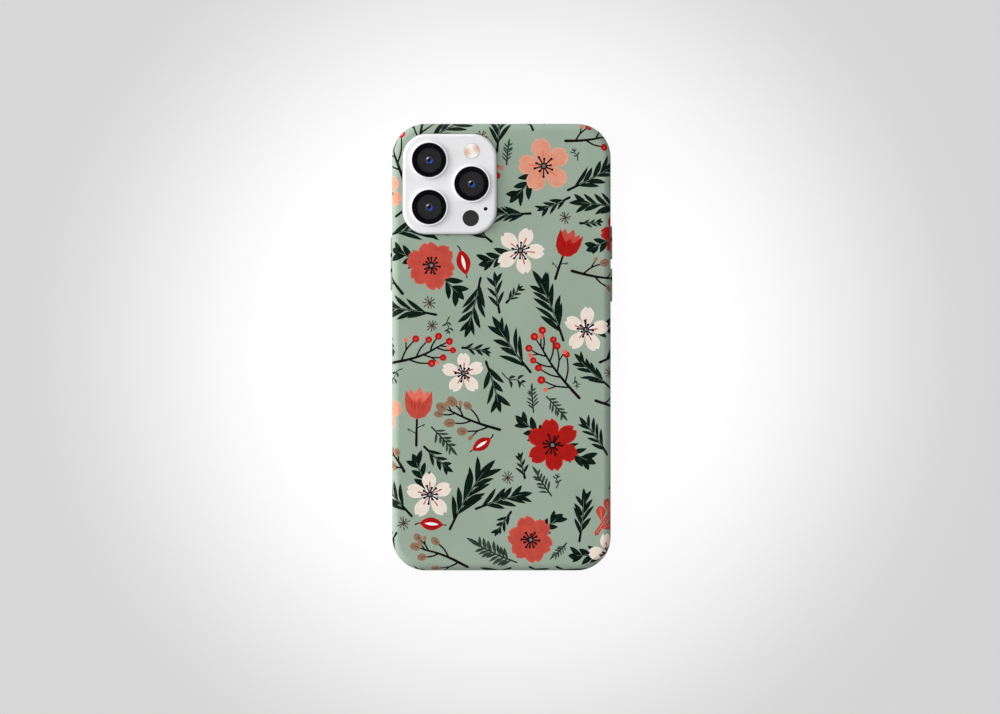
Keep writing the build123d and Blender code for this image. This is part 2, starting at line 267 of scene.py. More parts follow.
class Motif:
    """Filled outlines with their inks, laid down in order. It grows up from (0, 0)."""

    def __init__(self):
        self.fills = []

    def fill(self, points, colour):
        self.fills.append(([tuple(p) for p in points], colour))

    def stroke(self, points, start, end, colour="stem"):
        """A brush line, start wide at one end and end wide at the other, with blunt tips."""
        line = smooth_line(points)
        normals = side_normals(line)
        left, right = [], []
        for i, ((x, y), (nx, ny)) in enumerate(zip(line, normals)):
            half = (start + (end - start) * i / (len(line) - 1)) / 2
            left.append((x + nx * half, y + ny * half))
            right.append((x - nx * half, y - ny * half))
        (fx, fy), (lx, ly) = line[0], line[-1]
        tail = (fx - normals[0][1] * start / 2, fy + normals[0][0] * start / 2)
        tip = (lx + normals[-1][1] * end / 2, ly - normals[-1][0] * end / 2)
        self.fill([tail] + right + [tip] + left[::-1], colour)

    def blade(self, base, tip, width, colour, bend=0.0, belly=1.0, shrink=1.0, count=8):
        """A pointed leaf from base to tip.

        bend bows it sideways, and belly over 1 moves its widest place towards the tip. shrink
        under 1 draws a smaller leaf within the full one.
        """
        length = math.dist(base, tip)
        ux, uy = (tip[0] - base[0]) / length, (tip[1] - base[1]) / length
        margin = (1 - shrink) * 0.22

        def place(t, half):
            s = margin + t * (1 - 2 * margin)
            off = bend * math.sin(math.pi * s) + half
            return (base[0] + ux * length * s - uy * off, base[1] + uy * length * s + ux * off)

        halves = [
            (k / count, width / 2 * shrink**1.5 * math.sin(math.pi * (k / count) ** belly) ** 0.85)
            for k in range(1, count)
        ]
        right = [place(t, -half) for t, half in halves]
        left = [place(t, half) for t, half in halves]
        self.fill([place(0, 0)] + right + [place(1, 0)] + left[::-1], colour)

    def disc(self, x, y, r, colour, count=14, squash=1.0, tilt=0.0):
        """A slightly uneven disc, or an oval where squash isn't 1."""
        points = []
        for k in range(count):
            reach = r * (1 + jitter(0.05))
            px = reach * math.cos(math.tau * k / count)
            py = reach * math.sin(math.tau * k / count) * squash
            points.append(
                (
                    x + px * math.cos(tilt) - py * math.sin(tilt),
                    y + px * math.sin(tilt) + py * math.cos(tilt),
                )
            )
        self.fill(points, colour)

    def leaf(self, base, tip, width, bend, inks):
        """A dark leaf with a lighter heart."""
        self.blade(base, tip, width, inks[0], bend, 1.1)
        self.blade(base, tip, width, inks[1], bend, 1.1, 0.7)

    def moved(self, x, y, angle):
        """The fills turned by angle and put at (x, y)."""
        c, s = math.cos(angle), math.sin(angle)
        return [
            ([(x + px * c - py * s, y + px * s + py * c) for px, py in points], colour)
            for points, colour in self.fills
        ]


def sprig(length, pairs, leaf, width, spread=30.0, curve=0.0, slim=False):
    """Slender leaves up both sides of a stem, and a longer one at its tip."""
    m = Motif()
    inks = ("olive_dark", "olive") if slim else ("leaf_dark", "leaf_green")

    def spot(t):
        return (curve * t * t, length * t)

    heading = math.atan2(length, 2 * curve)
    m.stroke([spot(0), spot(0.35), spot(0.7)], 0.9 if not slim else 0.55, 0.5, inks[0])
    for k in range(pairs):
        t = 0.14 + 0.52 * k / max(pairs - 1, 1)
        for side in (-1, 1):
            base = spot(t + side * 0.03 + jitter(0.02))
            reach = leaf * (1.0 - 0.25 * k / pairs) * (1 + jitter(0.16))
            along = math.pi / 2 + (heading - math.pi / 2) * 1.3 * t
            tip = around(along - side * math.radians(spread + jitter(6)), reach, *base)
            m.leaf(base, tip, width * (1 + jitter(0.16)), side * reach * 0.05, inks)
    base = spot(0.62)
    m.leaf(base, around(heading, length * 0.4, *base), width * 1.3, jitter(0.4), inks)
    if not slim:
        m.stroke([spot(0.22), spot(0.5), spot(0.8)], 0.2, 0.1, "leaf_line")
    return m


def petal(m, angle, reach, half, colour, shrink=1.0):
    """A petal, narrow at its foot, widest past its middle, with a notched end."""
    side = (
        (0.05, 0.16),
        (0.2, 0.42),
        (0.4, 0.8),
        (0.58, 1.0),
        (0.74, 0.98),
        (0.87, 0.76),
        (0.95, 0.5),
        (1.0, 0.3),
    )
    scale = reach * (1 - (1 - shrink) * 0.6)
    right = [(t * scale, -w * half * shrink) for t, w in side]
    left = [(t * scale * (1 + jitter(0.015)), w * half * shrink) for t, w in side]
    notch = [(0.91 * scale, jitter(0.12) * half)]
    c, s = math.cos(angle), math.sin(angle)
    m.fill([(x * c - y * s, x * s + y * c) for x, y in right + notch + left[::-1]], colour)


def flower(radius, petals, plump, colour, edge, rays=None, glow=None, leaves=()):
    """Separate notched petals round black stamens, over leaves that show from behind."""
    m = Motif()
    start = jitter(math.pi)
    for turn, length in leaves:
        m.fills += sprig(length, 3, length * 0.42, 1.9, 33).moved(0, 0, turn)
    angles = [start + math.tau * k / petals + jitter(0.06) for k in range(petals)]
    reaches = [radius * (1 + jitter(0.05)) for _ in angles]
    for a, reach in zip(angles, reaches):
        petal(m, a, reach, plump * radius, edge)
    for a, reach in zip(angles, reaches):
        petal(m, a, reach, plump * radius, colour, 0.9)
    for a in angles if glow else ():
        m.blade((0, 0), around(a + 0.2, radius * 0.42), radius * 0.22, glow)
    for a in angles if rays else ():
        a += jitter(0.12)
        tip = around(a, radius * (0.52 + jitter(0.07)))
        m.stroke([around(a, radius * 0.15), tip], 0.3, 0.46, rays)
    for k in range(2 * petals):
        a = start + math.pi * (k + 0.5) / petals + jitter(0.12)
        reach = radius * ((0.36, 0.26)[k % 2] + jitter(0.05))
        m.stroke([around(a, radius * 0.08), around(a, reach)], 0.44, 0.58)
        m.disc(*around(a, reach), 0.46, "stem", 8)
    m.disc(0, 0, radius * 0.13, "stem", 12)
    m.disc(0, 0, radius * 0.07, "grey", 10)
    return m


# A fruit grows from (x, y), the end of its twig, in the direction of angle.
def berry(m, x, y, angle, r):
    x, y = around(angle, r * 0.8, x, y)
    m.disc(x, y, r, "red_deep", 15)
    m.disc(x, y, r * 0.82, "red", 14)
    m.disc(x + 0.08 * r, y - 0.05 * r, r * 0.36, "red_light", 9)


def small_berry(m, x, y, angle, r):
    m.disc(*around(angle, r * 0.5, x, y), r * 0.66, "coral_light", 11)


def bud(m, x, y, angle, r):
    x, y = around(angle, r, x, y)
    m.disc(x, y, r * 1.28, "tan_edge", 15, 0.78, angle)
    m.disc(x, y, r * 1.06, "tan", 14, 0.72, angle)
    m.blade(around(angle, -r, x, y), around(angle, r * 0.6, x, y), r * 0.42, "tan_dark")


def small_bud(m, x, y, angle, r):
    m.disc(*around(angle, r * 0.5, x, y), r * 0.7, "tan_edge", 11, 0.72, angle)


def branch(length, twigs, fruit, small, size, lean=40.0, curve=0.07):
    """A bare black branch, twigs to either side by turns, and a fruit on every end."""
    m = Motif()

    def spot(t):
        return (curve * length * math.sin(2.6 * t), length * t)

    ends = []
    for k in range(twigs):
        t = 0.2 + 0.62 * k / (twigs - 1)
        side = 1 if k % 2 else -1
        reach = length * (0.4 - 0.2 * t) * (1 + jitter(0.12))
        out = math.pi / 2 - side * math.radians(lean + jitter(6))
        knee = around(out - side * 0.1, reach * 0.5, *spot(t))
        end = around(out + side * 0.2, reach * 0.5, *knee)
        m.stroke([spot(t), knee, end], 0.62, 0.5)
        ends.append((fruit, end, out + side * 0.25))
        if k % 3 == 0:
            other = around(out - side * 0.5, reach * 0.36, *knee)
            m.stroke([knee, other], 0.52, 0.42)
            ends.append((small, other, out - side * 0.5))
    for turn, kind in ((0.0, fruit), (-0.7, small)):
        end = around(math.pi / 2 + turn, length * 0.1, *spot(0.9))
        m.stroke([spot(0.88), end], 0.55, 0.48)
        ends.append((kind, end, math.pi / 2 + turn))
    m.stroke([spot(t) for t in (0, 0.3, 0.6, 0.9)], 1.05, 0.6)
    for kind, (x, y), angle in ends:
        kind(m, x, y, angle, size * (1 + jitter(0.13)))
    return m


def tulip(size, deep="coral_dark", mid="coral", light="coral_light"):
    """A cup of pointed petals on a stem with two hooks."""
    m = Motif()
    foot = (0.5, -0.95 * size)
    m.stroke([(0, 0), (0.02 * size, -0.45 * size), foot], 0.7, 0.95)
    for y, side in ((-0.35, 1), (-0.55, -1)):
        hook = (side * 0.28 * size, (y + 0.16) * size)
        m.stroke([(0.02 * size, y * size), hook], 0.36, 0.26)
        m.stroke([hook, (hook[0] - side * 0.5, hook[1] - 0.9)], 0.26, 0.22)
    for x, top in ((-0.3, 0.98), (0.02, 1.06), (0.3, 0.96)):
        m.blade((0, 0.05 * size), (x * size, top * size), 0.42 * size, light, -x * 0.2 * size)
    cup = [
        (0.0, -0.04),
        (0.26, 0.05),
        (0.44, 0.3),
        (0.48, 0.6),
        (0.44, 0.98),
        (0.3, 0.72),
        (0.16, 0.52),
        (0.03, 0.7),
        (-0.1, 0.5),
        (-0.28, 0.66),
        (-0.46, 0.92),
        (-0.47, 0.55),
        (-0.4, 0.24),
        (-0.22, 0.03),
    ]
    m.fill([(x * size, y * size) for x, y in cup], mid)
    for x in (-0.3, -0.14, 0.05, 0.2, 0.34):
        root = (x * 0.5 * size, (0.24 + jitter(0.05)) * size)
        m.blade(root, (x * size, (0.64 + jitter(0.08)) * size), 0.06 * size, deep)
    return m


def rosehip(length):
    """A red almond, its white slit, and a short stem at each end."""
    m = Motif()
    m.stroke([(0, -0.45 * length), (0.2, -0.58 * length), (0.7, -0.68 * length)], 0.42, 0.5)
    m.stroke([(0, 0.45 * length), (0.05, 0.62 * length)], 0.36, 0.4)
    ends = ((0, -0.5 * length), (0, 0.5 * length))
    m.blade(*ends, length * 0.54, "red_deep", belly=0.95, count=12)
    m.blade(*ends, length * 0.54, "red", belly=0.95, shrink=0.9, count=12)
    for side in (-1, 1):
        bow = side * 0.14 * length
        m.blade((0, -0.38 * length), (0, 0.4 * length), 0.07 * length, "red_deep", bow)
    m.blade((0, -0.3 * length), (0, 0.3 * length), 0.13 * length, "white")
    return m


def starlet(radius):
    """Ten thin strokes round a point."""
    m = Motif()
    for k in range(10):
        a = math.tau * k / 10 + jitter(0.14)
        m.stroke([around(a, 0.05), around(a, radius * (1 + jitter(0.18)))], 0.26, 0.4, "star")
    m.disc(0, 0, radius * 0.17, "star", 9)
    return m


def twig(length):
    """A thin stem with a few needle leaves."""
    m = Motif()
    line = ((0, 0), (0.1, 0.33), (-0.04, 0.64), (0.05, 1.0))
    stem = [(x * length, y * length) for x, y in line]
    m.stroke(stem, 0.42, 0.26, "olive_dark")
    for at, angle, reach in (
        (stem[1], 140, 0.3),
        (stem[1], 45, 0.36),
        (stem[2], 150, 0.32),
        (stem[2], 38, 0.32),
        ((0.02 * length, 0.8 * length), 135, 0.24),
    ):
        tip = around(math.radians(angle + jitter(10)), reach * length, *at)
        m.blade(at, tip, 0.11 * length, "olive_dark", 0.05 * length)
    return m


def plume(length):
    """A branch of round-ended coral lobes."""
    m = Motif()

    def spot(t):
        return (0.12 * length * t * t, length * t)

    m.stroke([spot(t) for t in (0, 0.3, 0.6, 0.85)], 1.5, 0.8, "coral_dark")
    for k in range(9):
        t = 0.08 + 0.74 * k / 8
        side = (1, -1)[k % 2] if k < 8 else 0
        a = math.pi / 2 - side * math.radians(38) - 0.14 * t
        reach = length * (0.34 - 0.14 * t)
        base = spot(t)
        tip = around(a, reach, *base)
        m.blade(base, tip, reach * 0.5, "coral_dark", belly=2.1, count=12)
        m.blade(base, tip, reach * 0.5, "coral", belly=2.1, shrink=0.84, count=12)
        vein = [around(a, reach * 0.1, *base), around(a, reach * 0.75, *base)]
        m.stroke(vein, 0.2, 0.42, "coral_light")
    m.stroke([spot(t) for t in (0.02, 0.3, 0.62)], 0.5, 0.24, "coral_light")
    return m


# ---------------------------------------------------------------- laying out the print
CELL = 0.5
GRID_W, GRID_H = 196, 352
LEAST_ON_FILM = 0.6  # the share of a motif that has to be within the grid
GAP, NEAR = 2, 3  # cells kept free round a motif, and cells past those that count as close to it


def cells_of(fills):
    """The half-millimetre cells that a motif covers."""
    found = set()
    for points, _ in fills:
        p = np.array(points)
        low = np.floor(p.min(0) / CELL).astype(int)
        high = np.ceil(p.max(0) / CELL).astype(int)
        gx, gy = np.meshgrid(np.arange(low[0], high[0] + 1), np.arange(low[1], high[1] + 1))
        x, y = (gx + 0.5) * CELL, (gy + 0.5) * CELL
        inside = np.zeros(gx.shape, bool)
        for (ax, ay), (bx, by) in zip(p, np.roll(p, -1, 0)):
            if ay != by:
                inside ^= ((ay > y) != (by > y)) & (x < (bx - ax) * (y - ay) / (by - ay) + ax)
        found.update(zip(gx[inside].tolist(), gy[inside].tolist()))
        found.update((math.floor(a / CELL), math.floor(b / CELL)) for a, b in points)
    return np.array(sorted(found))


def grown(mask, steps):
    """The mask, spread by that many cells."""
    for _ in range(steps):
        wide = mask.copy()
        wide[1:] |= mask[:-1]
        wide[:-1] |= mask[1:]
        wide[:, 1:] |= mask[:, :-1]
        wide[:, :-1] |= mask[:, 1:]
        mask = wide
    return mask


class Ground:
    """The unrolled film, and what has been laid on it so far."""

    def __init__(self, half_x, half_y):
        self.half = (half_x, half_y)
        self.taken = np.zeros((GRID_W, GRID_H), bool)
        self.fills = []

    def put(self, fills):
        self.fills += fills
        cells = cells_of(fills) + (GRID_W // 2, GRID_H // 2)
        cells = cells[((cells >= 0) & (cells < (GRID_W, GRID_H))).all(1)]
        mask = np.zeros_like(self.taken)
        mask[cells[:, 0], cells[:, 1]] = True
        self.taken |= grown(mask, GAP)
        self.near = grown(self.taken, NEAR)

    def settle(self, motif, turn, tries):
        """Tries places at random and keeps the one that fits closest to what is there already."""
        centres = (cells_of(motif.fills) + 0.5) * CELL
        best = None
        for _ in range(tries):
            x = jitter(self.half[0])
            y = jitter(self.half[1])
            angle = jitter(turn)
            c, s = math.cos(angle), math.sin(angle)
            ix = ((x + centres[:, 0] * c - centres[:, 1] * s) / CELL + GRID_W / 2).astype(int)
            iy = ((y + centres[:, 0] * s + centres[:, 1] * c) / CELL + GRID_H / 2).astype(int)
            inside = (ix >= 0) & (iy >= 0) & (ix < GRID_W) & (iy < GRID_H)
            ix, iy = ix[inside], iy[inside]
            if len(ix) < LEAST_ON_FILM * len(centres) or self.taken[ix, iy].any():
                continue
            score = self.near[ix, iy].mean()
            if best is None or score > best[0]:
                best = (score, x, y, angle)
        if best:
            self.put(motif.moved(*best[1:]))


MM = 1000.0
film_low, film_high = (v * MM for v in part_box("printed_film"))
ROUND, CORNER = 2.6, 11.5  # the case's edge rounding and the corner radius of its outline
HALF_X, HALF_Y, TOP, FOOT = film_high.x, film_high.y, film_high.z, film_low.z
FLAT_CORNER = CORNER - ROUND
CORE_X, CORE_Y = HALF_X - CORNER, HALF_Y - CORNER
QUARTER = ROUND * math.pi / 2  # over the rounded edge, along the surface
REACH = QUARTER + TOP - ROUND - FOOT  # from the flat back to the foot of the wall


def down_to(z):
    """How far past the flat back a height on the edge or the wall is, along the surface."""
    if z <= TOP - ROUND:
        return QUARTER + TOP - ROUND - z
    return ROUND * math.acos(min(1.0, (z - TOP + ROUND) / ROUND))


def wrapped(u, v, sink=0.0):
    """The place and normal of a point of the unrolled film, sink below the case's surface."""
    cx, cy = max(-CORE_X, min(CORE_X, u)), max(-CORE_Y, min(CORE_Y, v))
    dx, dy = u - cx, v - cy
    reach = math.hypot(dx, dy)
    if reach <= FLAT_CORNER:
        return (u, v, TOP - sink), (0.0, 0.0, 1.0)
    nx, ny = dx / reach, dy / reach
    past = reach - FLAT_CORNER
    angle = min(past / ROUND, math.pi / 2)
    out = FLAT_CORNER + (ROUND - sink) * math.sin(angle)
    z = TOP - ROUND + (ROUND - sink) * math.cos(angle) - max(0.0, past - QUARTER)
    return (
        (cx + nx * out, cy + ny * out, z),
        (nx * math.sin(angle), ny * math.sin(angle), math.cos(angle)),
    )


def rounded(x, y, half_x, half_y, corner, segments=10):
    """A closed rounded rectangle."""
    points = []
    for sx, sy, start in ((1, 1, 0), (-1, 1, 90), (-1, -1, 180), (1, -1, 270)):
        for k in range(segments + 1):
            a = math.radians(start + 90 * k / segments)
            middle = (x + sx * (half_x - corner), y + sy * (half_y - corner))
            points.append(around(a, corner, *middle))
    return points


def ring(past):
    """A closed line round the unrolled film, past the flat back's edge by that much."""
    corner = FLAT_CORNER + past
    return rounded(0, 0, CORE_X + corner, CORE_Y + corner, corner, 16)


def wall_slot(length, height, middle, along, side):
    """An unrolled round-ended hole in a side wall (side 1 or -1 in X) or the bottom one (0)."""
    points = []
    for px, pz in rounded(along, middle, length / 2, height / 2, height / 2 - 1e-3, 8):
        past = down_to(pz)
        if side:
            points.append((side * (CORE_X + FLAT_CORNER + past), px))
        else:
            points.append((px, -(CORE_Y + FLAT_CORNER + past)))
    return points


guard_low, guard_high = (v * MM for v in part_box("camera_guard"))
guard_mid = (guard_low + guard_high) / 2
guard_half = (guard_high - guard_low) / 2
GUARD_FLANGE, GUARD_CORNER, GUARD_CLEAR = 1.1, 8.2, 0.15
CAP_FLANGE, CAP_CLEAR = 0.8, 0.2
guard_inset = GUARD_FLANGE - GUARD_CLEAR
guard_hole = (guard_half.x - guard_inset, guard_half.y - guard_inset, GUARD_CORNER + GUARD_CLEAR)
holes = [rounded(guard_mid.x, guard_mid.y, *guard_hole)]
BUTTONS = ("power_button", "volume_up_button", "volume_down_button")
for button in BUTTONS:
    low, high = (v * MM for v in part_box(button + "_cap"))
    mid = (low + high) / 2
    length = high.y - low.y - 2 * CAP_FLANGE + 2 * CAP_CLEAR
    height = high.z - low.z - 2 * CAP_FLANGE + 2 * CAP_CLEAR
    holes.append(wall_slot(length, height, mid.z, mid.y, math.copysign(1, mid.x)))
for length, height, along, side in (
    (10.4, 6.0, 50.3, 1),  # mute switch
    (14.2, 7.0, 0.0, 0),  # charging port
    (15.8, 4.2, -18.6, 0),  # speaker
    (15.8, 4.2, 18.6, 0),  # speaker
):
    holes.append(wall_slot(length, height, mid.z, along, side))

# The print is a scatter of its own: large flowers at listed places, then the rest from large to
# small, each where it fits closest. Centres reach past the flat back, onto the edges and the walls.
PAST_EDGE = 6
ground = Ground(HALF_X + PAST_EDGE, HALF_Y + PAST_EDGE)
CREAM = {"plump": 0.30, "colour": "cream", "edge": "cream_edge", "rays": "rust"}
CREAM["glow"] = "white"
CORAL = {"plump": 0.40, "colour": "coral", "edge": "coral_edge"}
SALMON = {"plump": 0.36, "colour": "salmon", "edge": "salmon_edge", "rays": "coral_light"}
POPPY = {"plump": 0.32, "colour": "poppy", "edge": "poppy_edge"}
for x, y, radius, petals, style, leaves in (
    (14.5, 62.0, 9.2, 5, SALMON, ((2.4, 17),)),
    (-24.0, 28.0, 8.4, 6, CORAL, ((3.9, 16), (1.2, 15))),
    (6.5, 33.0, 8.4, 5, CREAM, ((1.9, 15),)),
    (29.0, 6.0, 7.8, 5, CREAM, ((-1.5, 14),)),
    (-13.0, -9.0, 7.2, 5, CREAM, ()),
    (17.5, -33.5, 9.4, 6, POPPY, ((0.9, 16), (4.3, 16))),
    (-24.5, -50.5, 8.0, 5, CREAM, ((0.4, 15),)),
    (10.0, -66.0, 8.0, 6, CORAL, ((-0.9, 14),)),
    (-40.5, 53.0, 7.0, 5, SALMON, ()),
    (41.0, 38.5, 7.2, 6, POPPY, ((2.0, 13),)),
    (-41.5, -22.0, 7.4, 5, SALMON, ((0.2, 14),)),
    (37.0, -71.0, 7.4, 5, CREAM, ((1.6, 14),)),
):
    ground.put(flower(radius, petals, leaves=leaves, **style).moved(x, y, 0.0))

UPRIGHT, LOOSE, ANY = math.radians(35), math.radians(80), math.pi  # how far each may turn
TRIES = 1600
layout = [
    (sprig(28, 5, 10.6, 1.85, 28, 4.0), LOOSE),
    (branch(30, 9, berry, small_berry, 1.3), UPRIGHT),
    (sprig(26, 5, 9.8, 1.7, 29, -3.0), LOOSE),
    (branch(27, 7, bud, small_bud, 1.5, 36, -0.08), UPRIGHT),
    (sprig(25, 4, 9.8, 1.8, 28, 2.0), LOOSE),
    (sprig(24, 5, 9.0, 1.6, 30, -1.5), LOOSE),
    (branch(25, 8, berry, small_berry, 1.25, 42, -0.06), UPRIGHT),
    (plume(21), UPRIGHT),
    (tulip(10.0), UPRIGHT),
    (sprig(23, 4, 9.0, 1.7, 29, 2.0), LOOSE),
    (branch(24, 6, bud, small_bud, 1.5, 38), LOOSE),
    (sprig(22, 4, 8.8, 1.65, 29, -2.5), LOOSE),
    (tulip(9.0, "red_deep", "poppy", "coral"), UPRIGHT),
    (sprig(22, 4, 8.6, 1.6, 30, 1.0), LOOSE),
    (branch(21, 6, berry, small_berry, 1.2, 38, 0.1), LOOSE),
    (rosehip(8.8), ANY),
    (sprig(21, 4, 8.4, 1.6, 30, 1.0), ANY),
    (branch(20, 5, bud, small_bud, 1.4, 36, -0.05), LOOSE),
    (sprig(20, 4, 8.0, 1.55, 30, -1.6), ANY),
    (rosehip(8.2), ANY),
    (sprig(19, 8, 4.6, 1.1, 50, 2.0, True), LOOSE),
]
for size in (21, 20, 19, 18, 17, 16, 15, 14):
    layout += [
        (sprig(size, 4, size * 0.4, size * 0.078, 30, size * 0.1), ANY),
        (sprig(size, 4, size * 0.39, size * 0.078, 31, -size * 0.08), LOOSE),
        (sprig(size, 3, size * 0.42, size * 0.088, 30, size * 0.05), ANY),
    ]
    if size % 2:
        layout += [(branch(size, 4, berry, small_berry, 1.2), ANY)]
    else:
        layout += [(branch(size, 4, bud, small_bud, 1.3), ANY)]
layout += [(rosehip(7.6), ANY), (starlet(2.1), ANY), (twig(9.0), ANY), (starlet(2.0), ANY)]
for size in (13, 12, 11, 10, 9, 8):
    layout += [
        (sprig(size, 3, size * 0.42, size * 0.1, 30, size * 0.08), ANY),
        (sprig(size, 3, size * 0.4, size * 0.1, 31, -size * 0.06), ANY),
        (sprig(size, 5, size * 0.28, size * 0.066, 46, 0.6, True), ANY),
        (starlet(1.9), ANY),
        (branch(size, 3, bud, small_bud, 1.15), ANY),
    ]
layout += [(twig(size), ANY) for size in (7, 6, 5.5, 5, 4.5, 4)]
for motif, turn in layout:
    ground.settle(motif, turn, TRIES)


# ---------------------------------------------------------------- the printed film as a mesh
EDGE_STEPS, WALL_STEPS = 5, 4  # bands of faces over the rounded edge and down the wall
FILM_THICKNESS = 0.09
WELD = 1e-4


def cut_and_paint(fills):
    """Triangles of the unrolled film, split along every painted outline, with an ink for each."""
    outlines = [ring(REACH)] + holes
    outlines += [ring(QUARTER * k / EDGE_STEPS) for k in range(EDGE_STEPS + 1)]
    wall = REACH - QUARTER
    outlines += [ring(QUARTER + wall * k / WALL_STEPS) for k in range(1, WALL_STEPS)]
    inks = [INKS["sage"]] * len(outlines) + [INKS[colour] for _, colour in fills]
    outlines += [points for points, _ in fills]
    points, loops = [], []
    for outline in outlines:
        area = sum(
            a[0] * b[1] - b[0] * a[1] for a, b in zip(outline, outline[1:] + outline[:1])
        )
        loops.append(list(range(len(points), len(points) + len(outline))))
        points += outline if area > 0 else outline[::-1]
    verts, _, tris, _, _, sources = delaunay_2d_cdt(
        [Vector(p) for p in points], [], loops, 1, WELD
    )
    kept, colours = [], []
    for tri, source in zip(tris, sources):
        # the outlines that hold this triangle: 0 is the film's own, and the holes come next
        if 0 in source and not any(1 <= s <= len(holes) for s in source):
            kept.append(tuple(tri))
            colours.append(inks[max(source)])
    return [tuple(v) for v in verts], kept, colours


def build_film(fills):
    """The film as one closed skin: painted outside, plain inside, with a rim between them."""
    flat, tris, colours = cut_and_paint(fills)
    used = sorted({i for t in tris for i in t})
    index = {old: new for new, old in enumerate(used)}
    tris = [tuple(index[i] for i in t) for t in tris]
    count = len(used)
    outer, inner, normals = [], [], []
    for i in used:
        place, normal = wrapped(*flat[i])
        outer.append(place)
        inner.append(wrapped(*flat[i], FILM_THICKNESS)[0])
        normals.append(normal)
    edges = dict.fromkeys(edge for t in tris for edge in zip(t, t[1:] + t[:1]))
    rim = [(a, b) for a, b in edges if (b, a) not in edges]
    verts = outer + inner
    faces = tris + [tuple(i + count for i in t[::-1]) for t in tris]
    inks = colours + [INKS["sage"]] * len(tris)
    for a, b in rim:
        start = len(verts)
        verts += [outer[a], outer[b], inner[b], inner[a]]
        faces.append((start + 1, start, start + 3, start + 2))
        inks.append(INKS["sage"])
    mesh = bpy.data.meshes.new("floral_film")
    mesh.from_pydata([tuple(c / MM for c in v) for v in verts], [], faces)
    smooth = [True] * (2 * len(tris)) + [False] * len(rim)
    mesh.polygons.foreach_set("use_smooth", smooth)
    mesh.polygons.foreach_set("material_index", inks)
    for mat in INK_MATERIALS:
        mesh.materials.append(mat)
    mesh.update()
    all_normals = normals + [tuple(-c for c in n) for n in normals]
    all_normals += [(0.0, 0.0, 0.0)] * (len(verts) - len(all_normals))  # the rim keeps its own
    mesh.normals_split_custom_set_from_vertices(all_normals)
    film = bpy.data.objects.new("floral_film", mesh)
    bpy.context.scene.collection.objects.link(film)
    return film


film = build_film(ground.fills)
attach(film, "case")
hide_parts("printed_film")


# ---------------------------------------------------------------- materials for the CAD nodes
def dress(mat, *names):
    """Gives those CAD nodes the material."""
    for name in names:
        mesh = nodes[name].data
        mesh.materials.clear()
        mesh.materials.append(mat)


def moulded(name, first, second, rough, scale, bump, coat=0.0, specular=0.5):
    """A moulded surface of two close tones. bump is the height of its grain, in metres."""
    mat, tree, shader = new_material(name)
    factor = noise_factor(tree, scale, 4.0)
    tree.links.new(
        blend_colours(tree, factor, srgb(*first), srgb(*second)), shader.inputs["Base Color"]
    )
    vary_roughness(tree, shader, scale * 0.6, *rough)
    shader.inputs["Specular IOR Level"].default_value = specular
    shader.inputs["Coat Weight"].default_value = coat
    shader.inputs["Coat Roughness"].default_value = 0.1
    fine_bump(tree, shader, scale * 8, bump)
    return mat


LENSES = ("upper", "middle", "lower")


def each_lens(kind):
    return [f"lens_{kind}_{name}" for name in LENSES]


dress(
    moulded("hard_shell", (150, 168, 150), (158, 175, 158), (0.28, 0.36), 300.0, 1e-5, 0.2),
    "outer_shell",
)
dress(
    moulded("soft_liner", (26, 28, 27), (36, 38, 37), (0.55, 0.7), 500.0, 3e-5),
    "inner_liner",
    *(button + "_web" for button in BUTTONS),
)
dress(
    moulded("black_foam", (10, 10, 10), (22, 22, 22), (0.85, 0.95), 2500.0, 4e-5),
    "camera_gasket",
)
dress(
    moulded("white_guard", (240, 240, 241), (236, 236, 237), (0.34, 0.42), 160.0, 6e-6, 0.3),
    "camera_guard",
)
dress(
    moulded("black_collar", (3, 3, 4), (8, 8, 9), (0.3, 0.4), 600.0, 2e-6, specular=0.15),
    *each_lens("collar"),
)
dress(
    moulded("dark_window", (32, 32, 33), (40, 40, 41), (0.4, 0.5), 500.0, 2e-6),
    "depth_sensor_window",
)
dress(
    moulded("dark_mesh", (8, 8, 8), (24, 24, 24), (0.5, 0.6), 3000.0, 1e-5, specular=0.1),
    "microphone_mesh",
)


def spot_mask(tree, x, y, inner, outer):
    """1 within inner of (x, y) in the piece's own 0-1 box, 0 beyond outer."""
    own = tree.nodes.new("ShaderNodeTexCoord").outputs["Generated"]
    flat = vector_maths(tree, "MULTIPLY", own, (1, 1, 0)).outputs["Vector"]
    away = vector_maths(tree, "DISTANCE", flat, (x, y, 0)).outputs["Value"]
    return ramp(tree, away, outer, inner, "LINEAR")


# bright rings, black on the rounding of their inner edge
BLACK_TO, BRIGHT_FROM = 0.459, 0.465
trim, tree, shader = new_material("bright_trim")
grain = noise_factor(tree, 900.0, 2.0, stretch=(1, 1, 12))
bright = blend_colours(tree, grain, srgb(252, 252, 252), srgb(246, 246, 248))
inner_edge = spot_mask(tree, 0.5, 0.5, BLACK_TO, BRIGHT_FROM)
tree.links.new(
    blend_colours(tree, inner_edge, bright, srgb(4, 4, 5)), shader.inputs["Base Color"]
)
vary_roughness(tree, shader, 900.0, 0.2, 0.3)
dress(trim, *each_lens("trim"))

# the baffle's fine turned rings follow its own centre
baffle, tree, shader = new_material("dark_baffle")
coord = tree.nodes.new("ShaderNodeTexCoord")
mapping = tree.nodes.new("ShaderNodeMapping")
mapping.inputs["Location"].default_value = (-0.5, -0.5, -0.5)
wave = tree.nodes.new("ShaderNodeTexWave")
wave.wave_type = "RINGS"
wave.rings_direction = "SPHERICAL"
wave.inputs["Scale"].default_value = 7.0
wave.inputs["Distortion"].default_value = 0.0
tree.links.new(coord.outputs["Generated"], mapping.inputs["Vector"])
tree.links.new(mapping.outputs["Vector"], wave.inputs["Vector"])
tree.links.new(
    blend_colours(tree, wave.outputs["Fac"], srgb(25, 25, 26), srgb(31, 31, 32)),
    shader.inputs["Base Color"],
)
vary_roughness(tree, shader, 900.0, 0.4, 0.5)
dress(baffle, *each_lens("baffle"))
